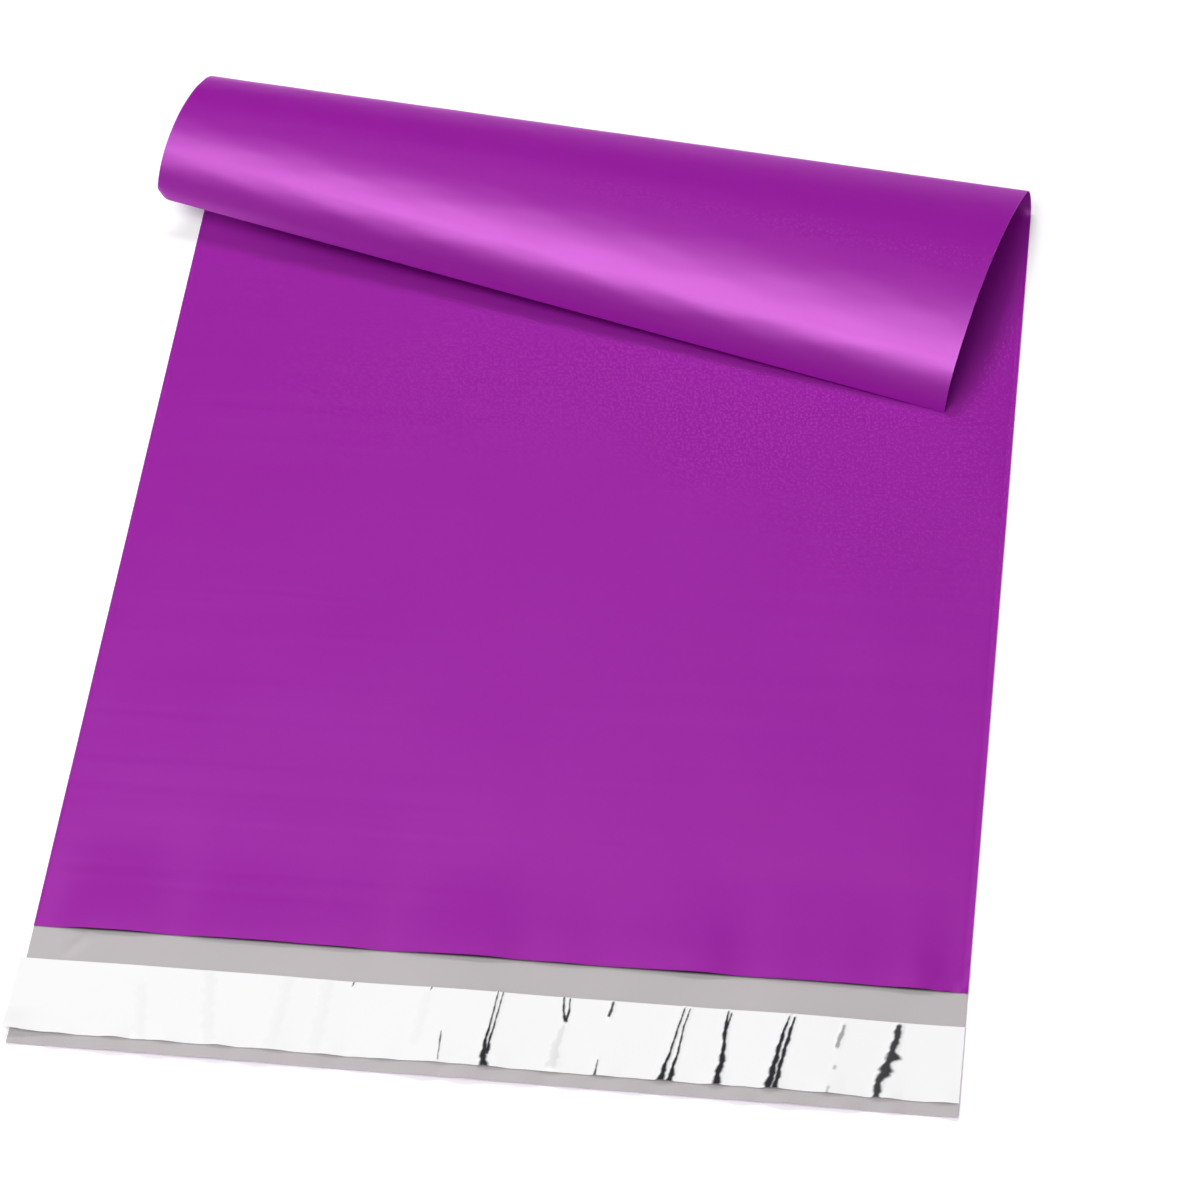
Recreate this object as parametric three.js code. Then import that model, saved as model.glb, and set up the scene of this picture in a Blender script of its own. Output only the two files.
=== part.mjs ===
import * as THREE from 'three';

// Poly mailer bag, empty, lying on its back with the closed end curled over the front.
// Millimetres, +Z up. The origin is the middle of the back panel, on the surface the bag lies on.
//
// The bag is drawn as a flat pattern and then folded along straight lines across it, a little at each
// line, so the film bends without stretching. A place on the pattern has three values:
//   across   from the centre line to the right edge
//   along    from the mouth to the closed end, so the flap has negative values
//   through  from the outside of the back ply up through the film

// Flat sizes
const BAG_WIDTH = 380;
const BAG_LENGTH = 525;
const FLAP_LENGTH = 52;
const FILM_THICKNESS = 0.06;
const POCKET_GAP = 0.2;
const SIDE_WELD = 3;
const CLOSED_END_FOLD = 0.6;

// Release liner and glue band on the flap
const LINER_WIDTH = 32;
const LINER_FROM_FLAP_EDGE = 5.5;
const LINER_THICKNESS = 0.05;
const LINER_OVERHANG = 2.5;
const GLUE_WIDTH = 20;
const GLUE_THICKNESS = 0.05;
const GLUE_SIDE_INSET = 4;
const GLUE_GAP = 0.1;
const LINER_GAP = 0.3;

// Curl: distances from the closed end, at the two side edges, of the lines where the bend starts and stops
const BEND_START_LEFT = 111;
const BEND_START_RIGHT = 147;
const BEND_STOP_LEFT = 69.5;
const BEND_STOP_RIGHT = 125;
const LIP_LENGTH = 23;

// Degrees that the film turns in the bend, in the arch over the top and in the lip at the closed end
const BEND_TURN = 151.6;
const ARCH_TURN = 55;
const LIP_TURN = 40;

// Waves where the film and the liner do not lie quite flat
const FLAP_WAVE_HEIGHT = 1.7;
const FLAP_WAVE_LENGTH = 118;
const FLAP_WAVE_REACH = 45;
const MOUTH_GAPE = 1.6;
const MOUTH_GAPE_LENGTH = 83;
const MOUTH_GAPE_REACH = 30;

// Creases across the liner: place as a share of its length, lean as a share of its width, share of the height
const CREASE_HALF_WIDTH = 2.2;
const CREASE_HEIGHT = 1;
const CREASES = [
  { place: 0.515, lean: 0.08, rise: 0.9 },
  { place: 0.707, lean: 0.16, rise: 1 },
  { place: 0.757, lean: 0.08, rise: 0.8 },
  { place: 0.816, lean: 0.16, rise: 1.1 },
  { place: 0.924, lean: 0.21, rise: 1.3 },
];

// How finely the pattern is divided
const COLUMNS = 20;
const PANEL_ROWS = 4;
const BEND_ROWS = 14;
const ARCH_ROWS = 8;
const LIP_ROWS = 6;

const HALF_WIDTH = BAG_WIDTH / 2;
const FRONT_PLY_BASE = FILM_THICKNESS + POCKET_GAP;
const FRONT_PLY_TOP = FRONT_PLY_BASE + FILM_THICKNESS;
const GLUE_BASE = FILM_THICKNESS + GLUE_GAP;
const GLUE_TOP = GLUE_BASE + GLUE_THICKNESS;
const LINER_BASE = GLUE_TOP + LINER_GAP;
const LINER_TOP = LINER_BASE + LINER_THICKNESS;
const LINER_LOWER = LINER_FROM_FLAP_EDGE - FLAP_LENGTH;
const LINER_UPPER = LINER_LOWER + LINER_WIDTH;
const GLUE_LOWER = LINER_LOWER + (LINER_WIDTH - GLUE_WIDTH) / 2;
const GLUE_UPPER = GLUE_LOWER + GLUE_WIDTH;

const blend = THREE.MathUtils.lerp;
const fade = (distance, reach) => 1 - THREE.MathUtils.smoothstep(distance, 0, reach);

// Columns of the pattern, closer together only at the side welds.
function filmColumns() {
  const inner = HALF_WIDTH - SIDE_WELD;
  const even = Array.from({ length: COLUMNS + 1 }, (_, i) => blend(-inner, inner, i / COLUMNS));
  return [-HALF_WIDTH, ...even, HALF_WIDTH];
}

// Rows of the pattern, each a straight line from the left edge to the right edge, with the angle in
// degrees that the film turns there.
function filmRows() {
  const level = (along) => ({ left: along, right: along, turn: 0 });
  const fromEnd = (left, right) => ({ left: BAG_LENGTH - left, right: BAG_LENGTH - right, turn: 0 });
  const between = (from, to, share, turn) => ({
    left: blend(from.left, to.left, share),
    right: blend(from.right, to.right, share),
    turn,
  });
  const turned = (from, to, count, turn) =>
    Array.from({ length: count }, (_, i) => between(from, to, (i + 0.5) / count, turn / count));

  const flap = [-FLAP_LENGTH, LINER_LOWER, GLUE_LOWER, GLUE_UPPER, LINER_UPPER, 0].map(level);
  const gape = level(MOUTH_GAPE_REACH);
  const start = fromEnd(BEND_START_LEFT, BEND_START_RIGHT);
  const stop = fromEnd(BEND_STOP_LEFT, BEND_STOP_RIGHT);
  const lip = fromEnd(LIP_LENGTH, LIP_LENGTH);
  const fold = level(BAG_LENGTH - CLOSED_END_FOLD);
  const panel = Array.from({ length: PANEL_ROWS }, (_, i) => between(gape, start, i / PANEL_ROWS, 0));
  return [
    ...flap,
    level(MOUTH_GAPE_REACH / 2),
    ...panel,
    ...turned(start, stop, BEND_ROWS, BEND_TURN),
    ...turned(stop, lip, ARCH_ROWS, ARCH_TURN),
    ...turned(lip, fold, LIP_ROWS, LIP_TURN),
    fold,
    level(BAG_LENGTH),
  ];
}

// Folds the pattern row by row. Each row gets its two ends and its normal in space.
function foldRows(rows) {
  const pose = new THREE.Matrix4();
  const turnAbout = (point, axis, angle) =>
    new THREE.Matrix4()
      .makeTranslation(point)
      .multiply(new THREE.Matrix4().makeRotationAxis(axis, angle))
      .multiply(new THREE.Matrix4().makeTranslation(point.clone().negate()));
  return rows.map((row) => {
    const left = new THREE.Vector3(-HALF_WIDTH, row.left, 0).applyMatrix4(pose);
    const right = new THREE.Vector3(HALF_WIDTH, row.right, 0).applyMatrix4(pose);
    const axis = right.clone().sub(left).normalize();
    const angle = THREE.MathUtils.degToRad(row.turn);
    const middle = turnAbout(left, axis, angle / 2).multiply(pose);
    const normal = new THREE.Vector3(0, 0, 1).transformDirection(middle);
    pose.premultiply(turnAbout(left, axis, angle));
    return { ...row, ends: [left, right], normal };
  });
}

const columns = filmColumns();
const rows = foldRows(filmRows());
const alongAt = (row, across) => blend(row.left, row.right, across / BAG_WIDTH + 0.5);

// Height of the flap's waves, highest at its free edge.
function waveHeight(across, along) {
  const wave = 0.5 + 0.3 * Math.cos((2 * Math.PI * across) / FLAP_WAVE_LENGTH)
    + 0.2 * Math.cos((2 * Math.PI * across) / (FLAP_WAVE_LENGTH * 0.6) + 1);
  return FLAP_WAVE_HEIGHT * wave * fade(along + FLAP_LENGTH, FLAP_LENGTH + FLAP_WAVE_REACH);
}

// The same height on the divided film, straight from one column to the next.
function filmHeight(across, along) {
  const inside = THREE.MathUtils.clamp(across, -HALF_WIDTH, HALF_WIDTH);
  const next = Math.max(1, columns.findIndex((column) => column >= inside));
  const [a, b] = [columns[next - 1], columns[next]];
  return blend(waveHeight(a, along), waveHeight(b, along), (inside - a) / (b - a));
}

// How far the front ply's edge stands off the back ply at the mouth.
function mouthGape(across, along) {
  const wave = 0.5 + 0.5 * Math.cos((2 * Math.PI * across) / MOUTH_GAPE_LENGTH);
  const sides = THREE.MathUtils.smoothstep(HALF_WIDTH - SIDE_WELD - Math.abs(across), 0, MOUTH_GAPE_LENGTH / 2);
  return along < 0 ? 0 : MOUTH_GAPE * wave * sides * fade(along, MOUTH_GAPE_REACH);
}

// The place in space of a place on the pattern.
function place(row, across, through, lift = 0) {
  const point = row.ends[0].clone().lerp(row.ends[1], across / BAG_WIDTH + 0.5);
  point.addScaledVector(row.normal, through);
  point.z += filmHeight(across, alongAt(row, across)) + lift;
  point.y -= BAG_LENGTH / 2;
  return point;
}

// A closed solid from a block of cells: a wall is drawn wherever a filled cell meets an empty one.
function cellSolid(counts, isFilled, corner) {
  const [nx, ny, nz] = counts;
  const index = new Map();
  const positions = [];
  const triangles = [];
  const vertex = (i, j, k) => {
    const key = (i * (ny + 1) + j) * (nz + 1) + k;
    if (!index.has(key)) {
      index.set(key, positions.length / 3);
      positions.push(...corner(i, j, k).toArray());
    }
    return index.get(key);
  };
  const filled = (i, j, k) =>
    i >= 0 && i < nx && j >= 0 && j < ny && k >= 0 && k < nz && isFilled(i, j, k);
  const wall = (a, b, c, d) => triangles.push(a, b, c, a, c, d);
  for (let i = 0; i < nx; i++) {
    for (let j = 0; j < ny; j++) {
      for (let k = 0; k < nz; k++) {
        if (!filled(i, j, k)) continue;
        const at = (di, dj, dk) => vertex(i + di, j + dj, k + dk);
        if (!filled(i - 1, j, k)) wall(at(0, 0, 0), at(0, 0, 1), at(0, 1, 1), at(0, 1, 0));
        if (!filled(i + 1, j, k)) wall(at(1, 0, 0), at(1, 1, 0), at(1, 1, 1), at(1, 0, 1));
        if (!filled(i, j - 1, k)) wall(at(0, 0, 0), at(1, 0, 0), at(1, 0, 1), at(0, 0, 1));
        if (!filled(i, j + 1, k)) wall(at(0, 1, 0), at(0, 1, 1), at(1, 1, 1), at(1, 1, 0));
        if (!filled(i, j, k - 1)) wall(at(0, 0, 0), at(0, 1, 0), at(1, 1, 0), at(1, 0, 0));
        if (!filled(i, j, k + 1)) wall(at(0, 0, 1), at(1, 0, 1), at(1, 1, 1), at(0, 1, 1));
      }
    }
  }
  const geometry = new THREE.BufferGeometry();
  geometry.setAttribute('position', new THREE.Float32BufferAttribute(positions, 3));
  geometry.setIndex(triangles);
  geometry.computeVertexNormals();
  return geometry;
}

function namedMesh(name, geometry, color, roughness) {
  const mesh = new THREE.Mesh(geometry, new THREE.MeshStandardMaterial({ color, roughness }));
  mesh.name = name;
  return mesh;
}

// The welded film: back ply with flap, pocket, front ply.
function mailerFilm() {
  const layers = [0, FILM_THICKNESS, FRONT_PLY_BASE, FRONT_PLY_TOP];
  const counts = [columns.length - 1, rows.length - 1, layers.length - 1];
  const isFilled = (i, j, k) => {
    if (k === 0) return true;
    if (rows[j].left < 0) return false;
    const isWelded = i === 0 || i === counts[0] - 1;
    const isFolded = j === counts[1] - 1;
    return k === 2 || isWelded || isFolded;
  };
  const corner = (i, j, k) => {
    const lift = k >= 2 ? mouthGape(columns[i], alongAt(rows[j], columns[i])) : 0;
    return place(rows[j], columns[i], layers[k], lift);
  };
  return namedMesh('mailer_film', cellSolid(counts, isFilled, corner), 0x9c28a3, 0.4);
}

const rowsWithin = (low, high) => rows.filter((row) => row.turn === 0 && row.left >= low && row.left <= high);

// The glue band, on the same columns as the film under it.
function adhesiveBand() {
  const edge = HALF_WIDTH - GLUE_SIDE_INSET;
  const across = [-edge, ...columns.filter((column) => Math.abs(column) < edge - 1), edge];
  const bandRows = rowsWithin(GLUE_LOWER, GLUE_UPPER);
  const layers = [GLUE_BASE, GLUE_TOP];
  const corner = (i, j, k) => place(bandRows[j], across[i], layers[k]);
  const geometry = cellSolid([across.length - 1, bandRows.length - 1, 1], () => true, corner);
  return namedMesh('adhesive_band', geometry, 0xd9d4c4, 0.3);
}

// Columns of the liner: those of the film, and three at each crease, which leans and stands up as a tent.
function linerColumns() {
  const leftEnd = -HALF_WIDTH - LINER_OVERHANG;
  const length = HALF_WIDTH - leftEnd;
  const creases = CREASES.flatMap((crease) => {
    const at = leftEnd + crease.place * length;
    return [-1, 0, 1].map((side) => ({
      across: at + side * CREASE_HALF_WIDTH,
      lean: crease.lean * LINER_WIDTH,
      lift: side === 0 ? crease.rise * CREASE_HEIGHT : 0,
    }));
  });
  const clear = (column) => creases.every((c) => Math.abs(column - c.across) > Math.abs(c.lean) / 2 + 0.5);
  const plain = [leftEnd, ...columns.slice(1, -1), HALF_WIDTH]
    .filter(clear)
    .map((across) => ({ across, lean: 0, lift: 0 }));
  return [...plain, ...creases].sort((a, b) => a.across - b.across);
}

function releaseLiner() {
  const across = linerColumns();
  const linerRows = rowsWithin(LINER_LOWER, LINER_UPPER);
  const layers = [LINER_BASE, LINER_TOP];
  const corner = (i, j, k) => {
    const share = (linerRows[j].left - LINER_LOWER) / LINER_WIDTH;
    const column = across[i];
    return place(linerRows[j], column.across + column.lean * (share - 0.5), layers[k], column.lift);
  };
  const geometry = cellSolid([across.length - 1, linerRows.length - 1, 1], () => true, corner);
  return namedMesh('release_liner', geometry, 0xf2f2f4, 0.15);
}

const mailer = new THREE.Group();
mailer.name = 'poly_mailer_bag';
mailer.add(mailerFilm(), adhesiveBand(), releaseLiner());

export default mailer;
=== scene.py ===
"""Poly mailer bag: looks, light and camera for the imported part. Metres, +Z up, in the part's own frame."""
import math

import bpy
import numpy as np
from mathutils import Matrix, Vector


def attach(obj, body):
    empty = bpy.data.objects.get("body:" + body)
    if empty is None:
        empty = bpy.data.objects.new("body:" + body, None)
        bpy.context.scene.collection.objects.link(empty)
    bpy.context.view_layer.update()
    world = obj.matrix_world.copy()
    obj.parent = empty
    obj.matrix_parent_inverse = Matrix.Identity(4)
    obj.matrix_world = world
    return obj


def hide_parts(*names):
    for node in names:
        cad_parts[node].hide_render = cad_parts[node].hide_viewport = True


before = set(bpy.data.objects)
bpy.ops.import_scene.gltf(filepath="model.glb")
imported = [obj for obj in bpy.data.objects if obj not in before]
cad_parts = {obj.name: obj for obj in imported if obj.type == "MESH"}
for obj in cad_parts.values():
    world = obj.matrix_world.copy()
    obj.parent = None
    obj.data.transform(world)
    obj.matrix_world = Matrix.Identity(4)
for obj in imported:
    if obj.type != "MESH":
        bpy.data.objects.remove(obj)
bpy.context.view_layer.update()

MM = 0.001

# Flat sizes, in millimetres as in the part's source
BAG_WIDTH = 380.0
BAG_LENGTH = 525.0
FLAP_LENGTH = 52.0
FILM_THICKNESS = 0.06
POCKET_GAP = 0.2
SIDE_WELD = 3.0
CLOSED_END_FOLD = 0.6
LINER_WIDTH = 32.0
LINER_FROM_FLAP_EDGE = 5.5
LINER_THICKNESS = 0.05
LINER_OVERHANG = 2.5
LINER_ABOVE_FILM = 0.45

# Curl: distances from the closed end at the two side edges, and degrees turned
BEND_START = (111.0, 147.0)
BEND_STOP = (69.5, 125.0)
LIP_LENGTH = 23.0
BEND_TURN = 151.6
ARCH_TURN = 55.0
LIP_TURN = 40.0

# How finely the film and the liner are divided
FILM_COLUMN = 4.0
WELD_COLUMNS = (0, 0.3, 0.7, 1.2, 2.0, 2.6)
CORNER_COLUMN = 1.5
CORNER_COLUMNS = 24.0
FLAP_ROW = 2.6
MOUTH_ROW = 4.0
PANEL_ROW = 9.0
BEND_ROWS = 48
ARCH_ROWS = 30
LIP_ROWS = 18
MOUTH_REACH = 60.0
LINER_COLUMN = 2.0
CREASE_COLUMN = 0.35
LINER_ROWS = 56

# Waves of the flap and of the mouth's edge: length, height and phase of each
FLAP_WAVES = ((118.0, 0.51, 0.0), (70.8, 0.34, 1.0))
FLAP_REST = 0.85
FLAP_CALM_FROM = 45.0
FLAP_EDGE_WAVES = ((21.0, 0.5, 0.4), (14.0, 0.3, 2.1))
FLAP_EDGE_REACH = 11.0
MOUTH_WAVES = ((83.0, 0.50, 0.3), (47.0, 0.36, 1.7), (29.0, 0.20, 0.2))
MOUTH_REST = 1.3
MOUTH_SIDE_FADE = 22.0

# Slanting fold of the flap: its place from the left edge, and its sizes
FLAP_FOLD_PLACE = 20.0
FLAP_FOLD_SLANT = 0.9
FLAP_FOLD_LENGTH = 14.0
FLAP_FOLD_FADE = 3.0
FLAP_FOLD_HEIGHT = 1.2
FLAP_FOLD_HALF_WIDTH = 3.2

# Low hills of the panel and ripples of the curl: two lengths, height and phase of each. They come and go
# between two distances from the mouth.
PANEL_WAVES = ((140.0, 95.0, 0.16, 0.4), (62.0, 210.0, 0.10, 2.0), (33.0, 120.0, 0.05, 1.1))
PANEL_REST = 0.2
PANEL_FADE_IN = (0, 60.0)
PANEL_FADE_OUT = (340.0, 385.0)
CURL_RIPPLES = ((17.0, 60.0, 0.05, 0.6), (9.0, 45.0, 0.03, 2.2))
CURL_FADE_IN = (400.0, 440.0)
CURL_FADE_OUT = (512.0, 524.0)

# Side welds: heights of the bead and of the groove, and their places in from the edge
WELD_BEAD = 0.22
WELD_BEAD_SIDE = (0.3, 1.2)
WELD_GROOVE = 0.06
WELD_GROOVE_PLACE = 2.3
WELD_GROOVE_HALF_WIDTH = 0.7
WELD_FADE_OUT = (360.0, 400.0)

# The mouth's right corner: its wrinkles, and its ragged cut with two waves in radians per millimetre
CORNER_WRINKLE_REACH = (2.0, 30.0)
CORNER_WRINKLE_HEIGHT = 0.8
CORNER_WRINKLE_PITCH = 8.0
CORNER_WRINKLE_LEAN = 0.8
CORNER_JAG = 0.7
CORNER_JAG_REACH = 14.0
CORNER_JAG_WAVES = (2.0, 0.9)

# The closed end's left corner rolls under: how far from the corner it starts, and the roll's radius
TUCK_REACH = 4.5
TUCK_RADIUS = 3.0

# Creases of the liner. A stroke runs up the liner as (across from the bag's left edge, up from the flap's
# edge, half width), with the darkness of its painted shade and dark reflection, and its height.
CREASES = (
    (1.0, 0.8, ((195.8, 37.5, 0.18), (194.7, 24, 0.3), (193.6, 15, 0.7), (194.0, 10, 1.3),
                (194.2, 6.2, 1.9))),
    (1.0, 0.4, ((197.8, 37.5, 0.18), (196.2, 22.8, 0.3), (195.2, 15.6, 0.5), (195.2, 11, 0.9))),
    (1.0, 0.5, ((222.3, 37.2, 0.35), (222.6, 31.8, 0.4), (224.0, 27.8, 0.7))),
    (1.0, 0.3, ((224.7, 37.2, 0.2), (224.9, 32, 0.35), (224.3, 27.5, 0.7))),
    (0.14, 0.3, ((223.6, 25, 0.8), (221.8, 17.7, 1.5), (221.2, 8.5, 2.0))),
    (0.95, 0.5, ((241.9, 36.5, 0.5), (241.7, 33.3, 0.55), (240.9, 30.9, 0.6))),
    (0.9, 0.4, ((239.1, 12.1, 0.12), (238.6, 5.6, 0.5))),
    (1.0, 0.9, ((270.5, 36.3, 0.2), (268.7, 27.3, 0.35), (267.0, 17.7, 0.4), (265.4, 11, 0.8),
                (264.6, 5.5, 1.5))),
    (1.0, 0.5, ((272.6, 36.3, 0.2), (271.0, 28.9, 0.3), (270.0, 18, 0.4), (268.7, 11.2, 0.7),
                (268.0, 5.5, 1.4))),
    (1.0, 0.3, ((289.1, 35.8, 0.2), (287.9, 29.6, 0.4))),
    (1.0, 0.8, ((287.8, 36.2, 0.2), (287.4, 29.5, 0.9), (287.5, 22.1, 0.7), (287.6, 16.7, 1.2),
                (286.5, 8.6, 1.3), (286.0, 4.9, 1.6))),
    (1.0, 1.0, ((311.9, 36, 0.2), (310.0, 28, 0.7), (308.5, 18.5, 1.0), (306.9, 7.6, 1.6),
                (306.6, 4.6, 1.7))),
    (1.0, 0.5, ((313.9, 35.8, 0.3), (312.5, 28.2, 0.8), (310.6, 17.3, 0.8), (309.5, 7.9, 1.0),
                (309.2, 4.6, 1.2))),
    (0.6, 0.4, ((333.4, 34, 0.5), (332.4, 29, 0.9), (331.4, 25.1, 0.7))),
    (0.4, 0.2, ((331.3, 16.6, 0.6), (331.1, 15.8, 0.6))),
    (0.35, 0.2, ((329.6, 7.6, 0.6), (329.2, 5.9, 0.6))),
    (0.97, 1.2, ((354.7, 35.3, 1.3), (353.5, 27.5, 1.4), (352.8, 24.6, 1.5), (353.0, 22.3, 3.2),
                (351.4, 19.6, 1.2), (351.0, 16.4, 3.3), (349.0, 13.2, 1.5), (348.0, 5.8, 1.5))),
    (0.9, 0.2, ((137.0, 38, 0.35), (136.5, 35.7, 0.15))),
    (0.9, 0.2, ((169.0, 38, 0.35), (168.5, 36.4, 0.15))),
    (0.9, 0.2, ((175.5, 18.6, 0.15), (175.7, 15, 0.35), (175.8, 12.5, 0.2), (176.1, 6.4, 0.12))),
    (0.04, 0.2, ((77.8, 36.4, 2.5), (80.0, 20, 2.5), (82.7, 7.6, 2.5))),
    (0.03, 0.2, ((110.2, 36, 2.5), (108.1, 8.3, 2.5))),
    (0.03, 0.2, ((126.4, 37.4, 2.5), (125.6, 8.3, 2.5))),
    (0.03, 0.2, ((51.1, 27, 2.5), (54.3, 5.2, 2.5))),
    (0.03, 0.2, ((167.4, 33.8, 2.0), (165.3, 14.3, 2.0))),
)
CREASE_JAG = 0.18
CREASE_JAG_WAVES = (1.3, 2.7)
CREASE_SWAY = 0.8
CREASE_CORE = 0.55
CREASE_RIM = 1.25
CREASE_BLUR = 0.15
CREASE_FOLD_EXTRA = 1.2
CREASE_FOLD_FADE = 3
CREASE_MARGIN = 1.5

# Lifted lower edge of the liner: shallow arcs, and its left end
EDGE_ARC_PITCH = 22.0
EDGE_ARC_LIFT = 0.6
EDGE_ARC_REACH = 12.0
EDGE_ARC_CUT = 0.2
LINER_END_LIFT = 2.2
LINER_END_FADE = (2.0, 24.0)

SHARP_ANGLE = 50.0

# Colours: the two of a film's faint clouds, the liner's own white and the painted shade of its creases, and
# the glue's
PURPLE_COLOURS = ((0.342, 0.001, 0.384), (0.334, 0.001, 0.375))
PURPLE_SHEEN = (1, 0.33, 1)
PURPLE_ROUGHNESS = 0.41
GREY_COLOURS = ((0.520, 0.482, 0.494), (0.490, 0.456, 0.468))
GREY_SHEEN = (0.4, 0.4, 0.4)
GREY_ROUGHNESS = 0.5
LINER_WHITE_AND_CREASE_SHADE_COLOURS = ((0.94, 0.94, 0.95), (0.03, 0.03, 0.035))
LINER_ROUGHNESS = (0.08, 0.16)
GLUE_COLOURS = ((0.66, 0.62, 0.52), (0.74, 0.70, 0.60))
GLUE_ROUGHNESS = (0.2, 0.35)
FLOOR_COLOUR = (0.94, 0.94, 0.945)
FLOOR_ROUGHNESS = (0.75, 0.85)

# Painted shade: the grey film's colour turns dark over this distance on both sides of the mouth, standing in
# for the shade inside the pocket
POCKET_SHADE = 0.5
POCKET_SHADE_COLOUR = (0.05, 0.03, 0.045)

# Gloss and noise of the materials. A bump has a strength and a depth in metres.
FILM_IOR = 2.0
NOISE_SPAN = (0.3, 0.7)
CLOUD_SCALE = 22.0
STREAK_SCALE = 60.0
STREAK_DETAIL = 3.0
STREAK_STRETCH = (0.06, 5.0, 1)
STREAK_SPREAD = (0.02, 0.03)
FILM_BUMP = (0.05, 0.0003)
LINER_GRAIN_SCALE = 120.0
LINER_BUMP = (0.05, 0.0002)
GLUE_NOISE_SCALE = 200.0
FLOOR_NOISE_SCALE = 40.0

# Camera: lens and sensor in millimetres, place in metres, angles in degrees
LENS = 99.594
SENSOR_WIDTH = 36.0
CAMERA_PLACE = (0.24969, -0.80187, 1.19308)
CAMERA_AZIMUTH = -17.8012
CAMERA_ELEVATION = 58.0468
CAMERA_ROLL = -12.0929

# Floor: how far it lies under the part, its half side in metres, and its glow where it is seen
FLOOR_DROP = 0.2 * MM
FLOOR_HALF = 6.0
FLOOR_GLOW = 0.16

# Light: a white room that is brightest overhead and dim in reflections, and long soft boxes overhead along
# the curl, each with its place and its power. The second from the front is the strongest.
ROOM_OVERHEAD = 0.34
ROOM_HORIZON = 0.14
ROOM_IN_GLOSS = 0.05
KEY_HEIGHT = 3.2
KEY_SIZE = (2.4, 0.48)
KEY_TURN = -10.0
KEY_STRIPS = ((-0.97, -2.10, 15.0), (-0.97, -1.25, 24.0), (-0.97, -0.62, 19.0), (-0.97, -0.02, 11.0))
# The back lamp makes the lip and the mouth's edge throw their shadows to the front. The low fill in front
# lights the lip.
BACK_PLACE = (-0.35, 1.85, 2.3)
BACK_SIZE = (0.9, 0.5)
BACK_POWER = 34.0
FILL_PLACE = (0.3, -2.6, 1.1)
FILL_SIZE = (1.6, 0.8)
FILL_POWER = 10.0

HALF_WIDTH = BAG_WIDTH / 2
FRONT_PLY_BASE = FILM_THICKNESS + POCKET_GAP
FRONT_PLY_TOP = FRONT_PLY_BASE + FILM_THICKNESS


# Shape of the film

def smooth_step(value, low, high):
    share = np.clip((value - low) / (high - low), 0, 1)
    return share * share * (3 - 2 * share)


def steps(low, high, pitch):
    """Values from low to high, high left out, about one pitch apart."""
    count = max(1, round((high - low) / pitch))
    return list(np.linspace(low, high, count + 1)[:-1])


def film_columns():
    inner = HALF_WIDTH - SIDE_WELD
    weld = [HALF_WIDTH - x for x in WELD_COLUMNS]
    middle = inner - CORNER_COLUMNS
    even = steps(-inner, -middle, CORNER_COLUMN) + steps(-middle, middle, FILM_COLUMN)
    even += steps(middle, inner, CORNER_COLUMN) + [inner]
    return np.array([-x for x in weld] + even + weld[::-1])


def film_rows():
    """Lines across the pattern as (left, right, degrees turned there)."""
    def between(start, stop, share, turn):
        return (*(a + (b - a) * share for a, b in zip(start, stop)), turn)

    def turned(start, stop, count, turn):
        return [between(start, stop, (i + 0.5) / count, turn / count) for i in range(count)]

    start = tuple(BAG_LENGTH - d for d in BEND_START)
    stop = tuple(BAG_LENGTH - d for d in BEND_STOP)
    lip = (BAG_LENGTH - LIP_LENGTH,) * 2
    fold = (BAG_LENGTH - CLOSED_END_FOLD,) * 2
    mouth = (MOUTH_REACH,) * 2
    rows = [(a, a, 0) for a in steps(-FLAP_LENGTH, 0, FLAP_ROW) + steps(0, MOUTH_REACH, MOUTH_ROW)]
    panel = round((min(start) - MOUTH_REACH) / PANEL_ROW)
    rows += [between(mouth, start, i / panel, 0) for i in range(panel)]
    rows += turned(start, stop, BEND_ROWS, BEND_TURN)
    rows += turned(stop, lip, ARCH_ROWS, ARCH_TURN)
    rows += turned(lip, fold, LIP_ROWS, LIP_TURN)
    return rows + [(*fold, 0), (BAG_LENGTH, BAG_LENGTH, 0)]


def folded(rows):
    """Folds the pattern along its rows: the two ends and the normal of each row in space."""
    pose = Matrix.Identity(4)
    result = []
    for left, right, turn in rows:
        ends = [pose @ Matrix.Translation((x, y, 0)) for x, y in ((-HALF_WIDTH, left), (HALF_WIDTH, right))]
        ends = [end.to_translation() for end in ends]
        axis = (ends[1] - ends[0]).normalized()
        there = Matrix.Translation(ends[0])

        def about(angle):
            return there @ Matrix.Rotation(angle, 4, axis) @ there.inverted()

        middle = (about(math.radians(turn) / 2) @ pose).to_3x3()
        result.append((np.array(ends[0]), np.array(ends[1]), np.array(middle.col[2])))
        pose = about(math.radians(turn)) @ pose
    return result


def wave_sum(waves, across):
    return sum(h * np.cos(2 * math.pi * across / length + phase) for length, h, phase in waves)


def field_sum(waves, across, along):
    """Low hills on the film from (length across, length along, height, phase) rows."""
    return sum(
        h * np.cos(2 * math.pi * across / a + phase) * np.cos(2 * math.pi * along / b + 2 * phase)
        for a, b, h, phase in waves)


def flap_height(across, along):
    """How far the flap stands off the surface under it, most at its free edge."""
    near_edge = 1 - smooth_step(along, -FLAP_LENGTH, FLAP_CALM_FROM)
    at_edge = 1 - smooth_step(along, -FLAP_LENGTH, -FLAP_LENGTH + FLAP_EDGE_REACH)
    short = wave_sum(FLAP_EDGE_WAVES, across) * at_edge
    long = (FLAP_REST + wave_sum(FLAP_WAVES, across)) * near_edge
    return np.maximum(long + short, 0) + flap_fold(across, along)


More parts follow.
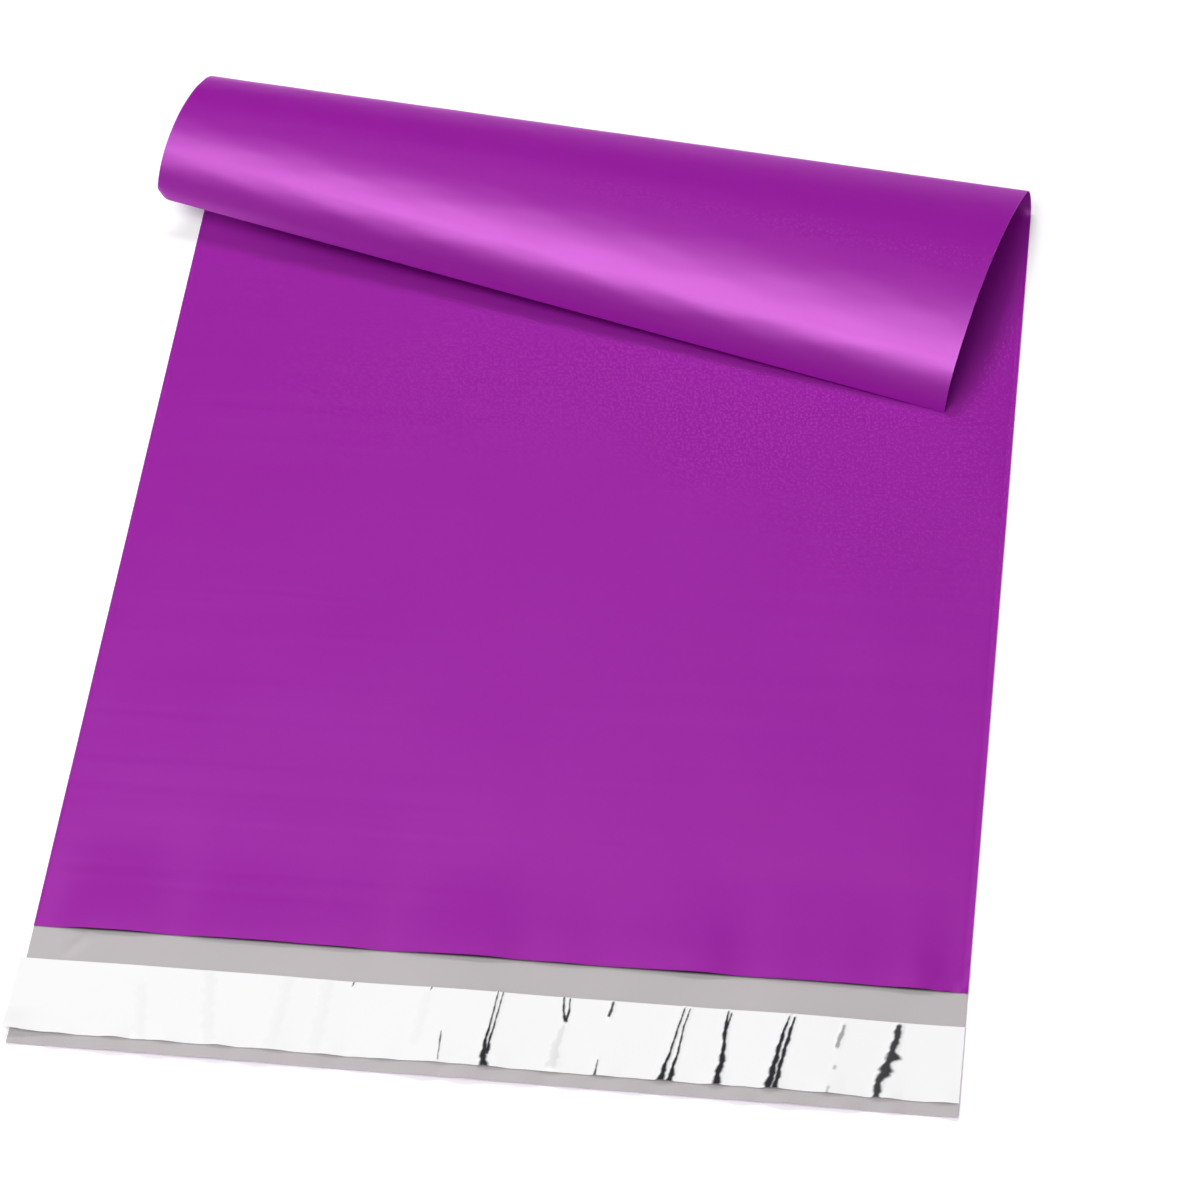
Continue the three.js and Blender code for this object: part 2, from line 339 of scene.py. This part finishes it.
def flap_fold(across, along):
    """A slanting fold on the bare strip of the flap, near its left end."""
    line = FLAP_FOLD_PLACE - HALF_WIDTH + FLAP_FOLD_SLANT * (along + FLAP_FOLD_LENGTH / 2)
    beside = np.maximum(1 - np.abs(across - line) / FLAP_FOLD_HALF_WIDTH, 0)
    rising = smooth_step(along, -FLAP_FOLD_LENGTH, -FLAP_FOLD_LENGTH / 2)
    inside = rising * (1 - smooth_step(along, -FLAP_FOLD_FADE, 0))
    return FLAP_FOLD_HEIGHT * beside * inside


def mouth_height(across, along):
    """How far the front ply's edge stands off the back ply."""
    sides = smooth_step(HALF_WIDTH - SIDE_WELD - np.abs(across), 0, MOUTH_SIDE_FADE)
    rise = np.maximum(MOUTH_REST + wave_sum(MOUTH_WAVES, across), 0)
    return np.where(along < 0, 0, rise * sides * (1 - smooth_step(along, 0, MOUTH_REACH)) ** 2)


def panel_height(across, along):
    inside = smooth_step(along, *PANEL_FADE_IN) * (1 - smooth_step(along, *PANEL_FADE_OUT))
    return inside * np.maximum(PANEL_REST + field_sum(PANEL_WAVES, across, along), 0)


def corner_height(across, along):
    """Small slanting wrinkles where the mouth's right corner was cut hot."""
    far = np.hypot(HALF_WIDTH - across, along)
    slanting = HALF_WIDTH - across + CORNER_WRINKLE_LEAN * along
    wave = 0.5 + 0.5 * np.cos(2 * math.pi * slanting / CORNER_WRINKLE_PITCH)
    near = 1 - smooth_step(far, *CORNER_WRINKLE_REACH)
    return np.where(along < 0, 0, CORNER_WRINKLE_HEIGHT * wave * near)


def weld_height(across):
    """The bead that the hot cut leaves on the side edges, and the weld's shallow groove."""
    inside = HALF_WIDTH - np.abs(across)
    bead = WELD_BEAD * (1 - smooth_step(inside, *WELD_BEAD_SIDE))
    beside = np.abs(inside - WELD_GROOVE_PLACE)
    return bead - WELD_GROOVE * (1 - smooth_step(beside, 0, WELD_GROOVE_HALF_WIDTH))


def mouth_jag(across):
    """Ragged cut of the front ply at the mouth's right corner."""
    near = smooth_step(across, HALF_WIDTH - CORNER_JAG_REACH, HALF_WIDTH)
    fast, slow = (np.sin(wave * across) for wave in CORNER_JAG_WAVES)
    return CORNER_JAG * near * fast * slow


def ply_lift(across, along, is_front):
    lift = flap_height(across, along)
    if is_front:
        for height in (mouth_height, panel_height, corner_height):
            lift = lift + height(across, along)
        lift = lift + weld_height(across) * (1 - smooth_step(along, *WELD_FADE_OUT))
    return lift


def curl_ripple(across, along):
    """Fine ripples along the normal, on the curled stretch only."""
    on_curl = smooth_step(along, *CURL_FADE_IN) * (1 - smooth_step(along, *CURL_FADE_OUT))
    return on_curl * field_sum(CURL_RIPPLES, along, across)


def cell_solid(name, counts, filled, points, uvs, face_slot):
    """A closed mesh: a wall wherever a filled cell of the block meets an empty one."""
    nx, ny, nz = counts
    index = np.full((nx + 1, ny + 1, nz + 1), -1)
    order, faces, slots = [], [], []

    def vertex(i, j, k):
        if index[i, j, k] < 0:
            index[i, j, k] = len(order)
            order.append((i, j, k))
        return int(index[i, j, k])

    def is_filled(i, j, k):
        return 0 <= i < nx and 0 <= j < ny and 0 <= k < nz and filled(i, j, k)

    walls = (
        ((-1, 0, 0), ((0, 0, 0), (0, 0, 1), (0, 1, 1), (0, 1, 0))),
        ((1, 0, 0), ((1, 0, 0), (1, 1, 0), (1, 1, 1), (1, 0, 1))),
        ((0, -1, 0), ((0, 0, 0), (1, 0, 0), (1, 0, 1), (0, 0, 1))),
        ((0, 1, 0), ((0, 1, 0), (0, 1, 1), (1, 1, 1), (1, 1, 0))),
        ((0, 0, -1), ((0, 0, 0), (0, 1, 0), (1, 1, 0), (1, 0, 0))),
        ((0, 0, 1), ((0, 0, 1), (1, 0, 1), (1, 1, 1), (0, 1, 1))),
    )
    for i in range(nx):
        for j in range(ny):
            for k in range(nz):
                if not is_filled(i, j, k):
                    continue
                for (di, dj, dk), ring in walls:
                    if is_filled(i + di, j + dj, k + dk):
                        continue
                    faces.append([vertex(i + a, j + b, k + c) for a, b, c in ring])
                    slots.append(face_slot(i, j, k, dk))
    at = tuple(np.array(order).T)
    mesh = bpy.data.meshes.new(name)
    mesh.from_pydata((points[at] * MM).tolist(), [], faces)
    mesh.polygons.foreach_set("material_index", slots)
    mesh.polygons.foreach_set("use_smooth", [True] * len(faces))
    layer = mesh.uv_layers.new(name="pattern")
    corners = np.array([v for face in faces for v in face])
    layer.data.foreach_set("uv", (uvs[at][corners] * MM).ravel())
    mesh.set_sharp_from_angle(angle=math.radians(SHARP_ANGLE))
    mesh.update()
    piece = bpy.data.objects.new(name, mesh)
    bpy.context.collection.objects.link(piece)
    return piece, at


def film_surface(across, rows):
    """Along values, points and normals of the pattern's grid, columns first."""
    ends = folded(rows)
    share = across / BAG_WIDTH + 0.5
    lines = np.array([(left, right) for left, right, _ in rows])
    along = lines[:, 0] + (lines[:, 1] - lines[:, 0]) * share[:, None]
    left, right, normal = (np.array([end[n] for end in ends]) for n in range(3))
    points = left + (right - left) * share[:, None, None]
    normals = np.broadcast_to(normal, points.shape)
    points = points + corner_tuck(across, along, right - left, normal)
    return along, points, normals


def corner_tuck(across, along, row_lines, normal):
    """Moves the closed end's left corner round a small cylinder, under the curl."""
    sideways = row_lines / np.linalg.norm(row_lines, axis=1, keepdims=True)
    forward = np.cross(normal, sideways)
    towards = (forward - sideways) / math.sqrt(2)
    start = (HALF_WIDTH + BAG_LENGTH) / math.sqrt(2) - TUCK_REACH
    past = np.maximum((along - across[:, None]) / math.sqrt(2) - start, 0)[..., None]
    angle = past / TUCK_RADIUS
    return towards * (TUCK_RADIUS * np.sin(angle) - past) + normal * TUCK_RADIUS * (1 - np.cos(angle))


PURPLE, GREY = 0, 1


def mailer_film():
    columns = film_columns()
    rows = film_rows()
    along, base, normals = film_surface(columns, rows)
    across = np.broadcast_to(columns[:, None], along.shape)
    layers = (0, FILM_THICKNESS, FRONT_PLY_BASE, FRONT_PLY_TOP)
    points = np.zeros((*along.shape, 4, 3))
    for k, through in enumerate(layers):
        points[:, :, k] = base + normals * (through + curl_ripple(across, along))[..., None]
        points[:, :, k, 2] += ply_lift(across, along, k >= 2)
        points[:, :, k, 1] -= BAG_LENGTH / 2
    mouth = int(np.argmin(np.abs(along[0])))
    points[:, mouth, 2:, 1] += mouth_jag(columns)[:, None]
    uvs = np.repeat(np.stack([across, along], -1)[:, :, None], 4, 2)
    counts = (len(columns) - 1, len(rows) - 1, 3)

    def filled(i, j, k):
        if k == 0:
            return True
        if rows[j][0] < 0:
            return False
        is_welded = min(i, counts[0] - 1 - i) < len(WELD_COLUMNS)
        return k == 2 or is_welded or j == counts[1] - 1

    def face_slot(i, j, k, side):
        return GREY if (k == 0 and side == 1) or (k == 2 and side == -1) else PURPLE

    piece, _ = cell_solid("film", counts, filled, points, uvs, face_slot)
    return piece


# Shape of the liner

def crease_shade_share(across, up, stroke):
    """Share of painted shade on a crease: 1 on its line, falling to 0 over its half width and a little
    beyond.
    """
    xs, ys, widths = (np.array(column) for column in zip(*stroke))
    order = np.argsort(ys)
    half = np.interp(up, ys[order], widths[order])
    slow, fast = CREASE_JAG_WAVES
    half = half * (1 + CREASE_JAG * (np.sin(slow * up + xs[0]) + np.sin(fast * up + 2 * xs[0]) / 2))
    sway = CREASE_JAG * half * np.sin(CREASE_SWAY * up + 3 * xs[0])
    line = np.interp(up, ys[order], xs[order]) + sway
    beyond = np.maximum(np.maximum(ys.min() - up, up - ys.max()), 0)
    reach = np.hypot(across - line, beyond)
    return 1 - smooth_step(reach, CREASE_CORE * half, CREASE_RIM * half + CREASE_BLUR)


def tent_share(across, up, stroke):
    """The crease's fold, wider than its line of painted shade."""
    xs, ys, widths = (np.array(column) for column in zip(*stroke))
    order = np.argsort(ys)
    line = np.interp(up, ys[order], xs[order])
    half = np.interp(up, ys[order], widths[order]) + CREASE_FOLD_EXTRA
    low, high = ys.min(), ys.max()
    rising = smooth_step(up, low - CREASE_FOLD_FADE, low)
    inside = rising * (1 - smooth_step(up, high, high + CREASE_FOLD_FADE))
    return np.maximum(1 - np.abs(across - line) / half, 0) * inside


def liner_columns():
    left = -LINER_OVERHANG
    fine = [x for *_, stroke in CREASES for x, _, _ in stroke]
    reach = max(width for *_, stroke in CREASES for *_, width in stroke) + CREASE_MARGIN
    columns = []
    at = left
    while at < BAG_WIDTH - CREASE_COLUMN:
        columns.append(at)
        at += CREASE_COLUMN if any(abs(at - x) < reach for x in fine) else LINER_COLUMN
    return np.array(columns + [BAG_WIDTH])


def release_liner():
    columns = liner_columns()
    ups = np.linspace(LINER_FROM_FLAP_EDGE, LINER_FROM_FLAP_EDGE + LINER_WIDTH, LINER_ROWS + 1)
    across, up = np.meshgrid(columns, ups, indexing="ij")
    ground = flap_height(across - HALF_WIDTH, up - FLAP_LENGTH)
    lift = np.zeros_like(ground)
    # Painted shade and dark reflection of the creases, carried into the liner's colour
    dark = np.zeros_like(ground)
    for crease_shade_strength, height, stroke in CREASES:
        lift = np.maximum(lift, height * tent_share(across, up, stroke))
        dark = np.maximum(dark, crease_shade_strength * crease_shade_share(across, up, stroke))
    near_edge = 1 - smooth_step(up, LINER_FROM_FLAP_EDGE, LINER_FROM_FLAP_EDGE + EDGE_ARC_REACH)
    arcs = np.maximum(np.cos(2 * math.pi * across / EDGE_ARC_PITCH), -EDGE_ARC_CUT) + EDGE_ARC_CUT
    end = 1 - smooth_step(across, *LINER_END_FADE)
    lift = lift + near_edge * (EDGE_ARC_LIFT * arcs + LINER_END_LIFT * end)
    points = np.zeros((*across.shape, 2, 3))
    for k, through in enumerate((0, LINER_THICKNESS)):
        points[:, :, k, 0] = across - HALF_WIDTH
        points[:, :, k, 1] = up - FLAP_LENGTH - BAG_LENGTH / 2
        points[:, :, k, 2] = ground + LINER_ABOVE_FILM + lift + through
    uvs = np.repeat(np.stack([across, up], -1)[:, :, None], 2, 2)
    counts = (len(columns) - 1, LINER_ROWS, 1)
    piece, at = cell_solid("liner", counts, lambda *_: True, points, uvs, lambda *_: 0)
    # The painted crease shade is stored as the mesh's crease attribute
    attribute = piece.data.attributes.new("crease", "FLOAT", "POINT")
    attribute.data.foreach_set("value", dark[at[0], at[1]].astype(np.float32))
    return piece


# Materials

def new_material(name):
    material = bpy.data.materials.new(name)
    material.use_nodes = True
    nodes = material.node_tree.nodes
    return material, nodes, material.node_tree.links, nodes["Principled BSDF"]


def mapped_noise(nodes, links, scale, detail=4.0, stretch=(1, 1, 1)):
    """Noise on the flat pattern, in metres, stretched where asked."""
    place = nodes.new("ShaderNodeUVMap")
    place.uv_map = "pattern"
    mapping = nodes.new("ShaderNodeMapping")
    mapping.inputs["Scale"].default_value = stretch
    noise = nodes.new("ShaderNodeTexNoise")
    noise.inputs["Scale"].default_value = scale
    noise.inputs["Detail"].default_value = detail
    links.new(place.outputs["UV"], mapping.inputs["Vector"])
    links.new(mapping.outputs["Vector"], noise.inputs["Vector"])
    return noise.outputs["Fac"]


def value_range(nodes, links, value, low, high):
    remap = nodes.new("ShaderNodeMapRange")
    remap.inputs["From Min"].default_value = NOISE_SPAN[0]
    remap.inputs["From Max"].default_value = NOISE_SPAN[1]
    remap.inputs["To Min"].default_value = low
    remap.inputs["To Max"].default_value = high
    links.new(value, remap.inputs["Value"])
    return remap.outputs["Result"]


def mixed_colour(nodes, links, factor, first, second):
    mix = nodes.new("ShaderNodeMix")
    mix.data_type = "RGBA"
    mix.inputs["A"].default_value = (*first, 1)
    mix.inputs["B"].default_value = (*second, 1)
    links.new(factor, mix.inputs["Factor"])
    return mix.outputs["Result"]


def bumped(nodes, links, shader, height, strength, distance):
    bump = nodes.new("ShaderNodeBump")
    bump.inputs["Strength"].default_value = strength
    bump.inputs["Distance"].default_value = distance
    links.new(height, bump.inputs["Height"])
    links.new(bump.outputs["Normal"], shader.inputs["Normal"])


def film_material(name, colours, sheen, roughness):
    material, nodes, links, shader = new_material(name)
    shader.inputs["IOR"].default_value = FILM_IOR
    shader.inputs["Specular IOR Level"].default_value = 1.0
    shader.inputs["Specular Tint"].default_value = (*sheen, 1)
    cloud = value_range(nodes, links, mapped_noise(nodes, links, CLOUD_SCALE), 0, 1)
    streak = mapped_noise(nodes, links, STREAK_SCALE, STREAK_DETAIL, STREAK_STRETCH)
    links.new(mixed_colour(nodes, links, cloud, *colours), shader.inputs["Base Color"])
    glossy, dull = roughness - STREAK_SPREAD[0], roughness + STREAK_SPREAD[1]
    links.new(value_range(nodes, links, streak, glossy, dull), shader.inputs["Roughness"])
    bumped(nodes, links, shader, streak, *FILM_BUMP)
    return material


def paint_pocket_shade(material):
    """Paints shade into the grey film's colour: dark from the mouth on, standing in for the shade inside the
    pocket.
    """
    nodes, links = material.node_tree.nodes, material.node_tree.links
    shader = nodes["Principled BSDF"]
    place = nodes.new("ShaderNodeUVMap")
    place.uv_map = "pattern"
    split = nodes.new("ShaderNodeSeparateXYZ")
    inside = nodes.new("ShaderNodeMapRange")
    inside.inputs["From Min"].default_value = -POCKET_SHADE * MM
    inside.inputs["From Max"].default_value = POCKET_SHADE * MM
    links.new(place.outputs["UV"], split.inputs["Vector"])
    links.new(split.outputs["Y"], inside.inputs["Value"])
    # Painted shade: the film's own colour is mixed towards the dark pocket colour from the mouth on
    mix = nodes.new("ShaderNodeMix")
    mix.data_type = "RGBA"
    mix.inputs["B"].default_value = (*POCKET_SHADE_COLOUR, 1)
    links.new(inside.outputs["Result"], mix.inputs["Factor"])
    links.new(shader.inputs["Base Color"].links[0].from_socket, mix.inputs["A"])
    links.new(mix.outputs["Result"], shader.inputs["Base Color"])
    return material


def purple_film():
    return film_material("purple_film", PURPLE_COLOURS, PURPLE_SHEEN, PURPLE_ROUGHNESS)


def grey_film():
    # The grey film carries painted shade inside the pocket
    return paint_pocket_shade(film_material("grey_film", GREY_COLOURS, GREY_SHEEN, GREY_ROUGHNESS))


def liner_film():
    material, nodes, links, shader = new_material("liner_film")
    # Painted shade: the crease attribute mixes the liner's white towards near black, standing in for the
    # creases' shade and dark reflections
    crease = nodes.new("ShaderNodeAttribute")
    crease.attribute_name = "crease"
    colour = mixed_colour(nodes, links, crease.outputs["Fac"], *LINER_WHITE_AND_CREASE_SHADE_COLOURS)
    links.new(colour, shader.inputs["Base Color"])
    grain = mapped_noise(nodes, links, LINER_GRAIN_SCALE)
    links.new(value_range(nodes, links, grain, *LINER_ROUGHNESS), shader.inputs["Roughness"])
    bumped(nodes, links, shader, grain, *LINER_BUMP)
    return material


def glue_film():
    material, nodes, links, shader = new_material("glue_film")
    noise = nodes.new("ShaderNodeTexNoise")
    noise.inputs["Scale"].default_value = GLUE_NOISE_SCALE
    grain = noise.outputs["Fac"]
    links.new(mixed_colour(nodes, links, grain, *GLUE_COLOURS), shader.inputs["Base Color"])
    links.new(value_range(nodes, links, grain, *GLUE_ROUGHNESS), shader.inputs["Roughness"])
    return material


# Floor, light and camera

def floor_material():
    """White where the camera sees it lit, with the bag's own shadow on it."""
    material, nodes, links, shader = new_material("floor")
    shader.inputs["Base Color"].default_value = (*FLOOR_COLOUR, 1)
    noise = nodes.new("ShaderNodeTexNoise")
    noise.inputs["Scale"].default_value = FLOOR_NOISE_SCALE
    links.new(value_range(nodes, links, noise.outputs["Fac"], *FLOOR_ROUGHNESS), shader.inputs["Roughness"])
    path = nodes.new("ShaderNodeLightPath")
    seen = path.outputs["Is Camera Ray"]
    for ray in ("Is Glossy Ray", "Is Transmission Ray"):
        either = nodes.new("ShaderNodeMath")
        either.operation = "MAXIMUM"
        links.new(seen, either.inputs[0])
        links.new(path.outputs[ray], either.inputs[1])
        seen = either.outputs["Value"]
    glow = nodes.new("ShaderNodeMath")
    glow.operation = "MULTIPLY"
    glow.inputs[1].default_value = FLOOR_GLOW
    links.new(seen, glow.inputs[0])
    links.new(glow.outputs["Value"], shader.inputs["Emission Strength"])
    shader.inputs["Emission Color"].default_value = (1, 1, 1, 1)
    return material


def add_floor():
    bpy.ops.mesh.primitive_plane_add(size=2 * FLOOR_HALF, location=(0, 0, -FLOOR_DROP))
    floor = bpy.context.object
    floor.name = "floor"
    floor.data.materials.append(floor_material())


def add_room():
    world = bpy.data.worlds.new("room")
    world.use_nodes = True
    nodes, links = world.node_tree.nodes, world.node_tree.links
    direction = nodes.new("ShaderNodeTexCoord")
    split = nodes.new("ShaderNodeSeparateXYZ")
    links.new(direction.outputs["Generated"], split.inputs["Vector"])
    strength = nodes.new("ShaderNodeMapRange")
    strength.inputs["To Min"].default_value = ROOM_HORIZON
    strength.inputs["To Max"].default_value = ROOM_OVERHEAD
    links.new(split.outputs["Z"], strength.inputs["Value"])
    path = nodes.new("ShaderNodeLightPath")
    choice = nodes.new("ShaderNodeMix")
    links.new(path.outputs["Is Glossy Ray"], choice.inputs["Factor"])
    links.new(strength.outputs["Result"], choice.inputs["A"])
    choice.inputs["B"].default_value = ROOM_IN_GLOSS
    background = nodes["Background"]
    background.inputs["Color"].default_value = (1, 1, 1, 1)
    links.new(choice.outputs["Result"], background.inputs["Strength"])
    bpy.context.scene.world = world


def add_area(name, place, turn, size, power):
    light = bpy.data.lights.new(name, "AREA")
    light.shape = "RECTANGLE"
    light.size, light.size_y = size
    light.energy = power
    lamp = bpy.data.objects.new(name, light)
    lamp.matrix_world = Matrix.Translation(place) @ turn
    bpy.context.collection.objects.link(lamp)
    return lamp


def add_keys():
    turn = Matrix.Rotation(math.radians(KEY_TURN), 4, "Z")
    for x, y, power in KEY_STRIPS:
        add_area("key", (x, y, KEY_HEIGHT), turn, KEY_SIZE, power)


def add_aimed(name, place, size, power):
    """A lamp that looks at the part's origin and isn't seen in reflections."""
    turn = Vector(place).to_track_quat("Z", "Y").to_matrix().to_4x4()
    lamp = add_area(name, place, turn, size, power)
    lamp.visible_glossy = False


def add_camera():
    camera = bpy.data.objects.new("camera", bpy.data.cameras.new("camera"))
    camera.data.lens = LENS
    camera.data.sensor_width = SENSOR_WIDTH
    turn = Matrix.Rotation(math.radians(-CAMERA_AZIMUTH), 4, "Z")
    tilt = Matrix.Rotation(math.radians(90 - CAMERA_ELEVATION), 4, "X")
    roll = Matrix.Rotation(math.radians(CAMERA_ROLL), 4, "Z")
    camera.matrix_world = Matrix.Translation(CAMERA_PLACE) @ turn @ tilt @ roll
    bpy.context.collection.objects.link(camera)
    bpy.context.scene.camera = camera


def add_pieces():
    film = mailer_film()
    film.data.materials.append(purple_film())
    film.data.materials.append(grey_film())
    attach(film, "root")
    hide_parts("mailer_film")

    liner = release_liner()
    liner.data.materials.append(liner_film())
    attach(liner, "root")
    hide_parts("release_liner")

    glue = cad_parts["adhesive_band"]
    glue.data.materials.clear()
    glue.data.materials.append(glue_film())


add_pieces()
add_floor()
add_room()
add_keys()
add_aimed("back", BACK_PLACE, BACK_SIZE, BACK_POWER)
add_aimed("fill", FILL_PLACE, FILL_SIZE, FILL_POWER)
add_camera()
bpy.context.scene.view_settings.view_transform = "Standard"
